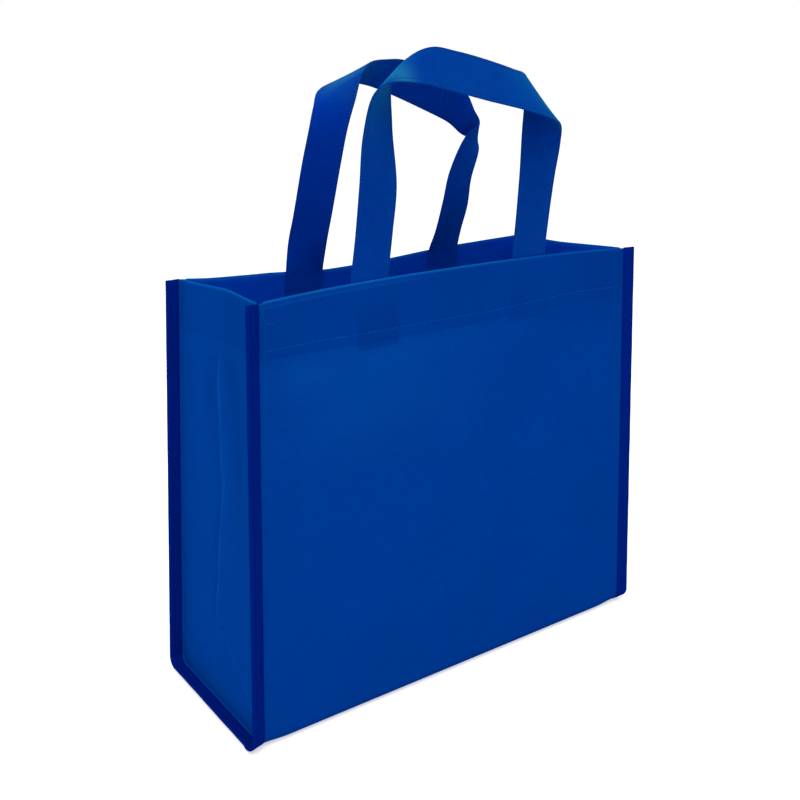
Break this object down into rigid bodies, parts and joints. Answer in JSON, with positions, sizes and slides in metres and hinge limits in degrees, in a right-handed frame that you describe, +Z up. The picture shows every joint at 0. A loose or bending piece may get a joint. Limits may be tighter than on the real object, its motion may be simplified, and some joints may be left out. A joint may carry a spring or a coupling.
{
  "type": "non-woven bag",
  "caption": "Upright open-topped shopping bag of blue embossed non-woven cloth, with bound outside seams, a folded hem and soft flat strap handles",
  "frame": {"origin": "on the ground at the middle of the flat bottom, where the bag rests", "axes": "+Z points up through the open mouth, -Y points out of the front panel, and +X runs along the front panel to the right as seen from the front"},
  "size_m": [0.3762, 0.1532, 0.4756],
  "materials": {
    "body_fabric": "matte",
    "side_fabric": "matte",
    "binding_tape": "matte",
    "strap_fabric": "matte"
  },
  "bodies": {
    "root": {"body_panel": "body_fabric", "side_panel_left": "side_fabric", "side_panel_right": "side_fabric", "binding_left": "binding_tape", "binding_right": "binding_tape", "handle_front": "strap_fabric", "handle_back": "strap_fabric"}
  },
  "joints": []
}
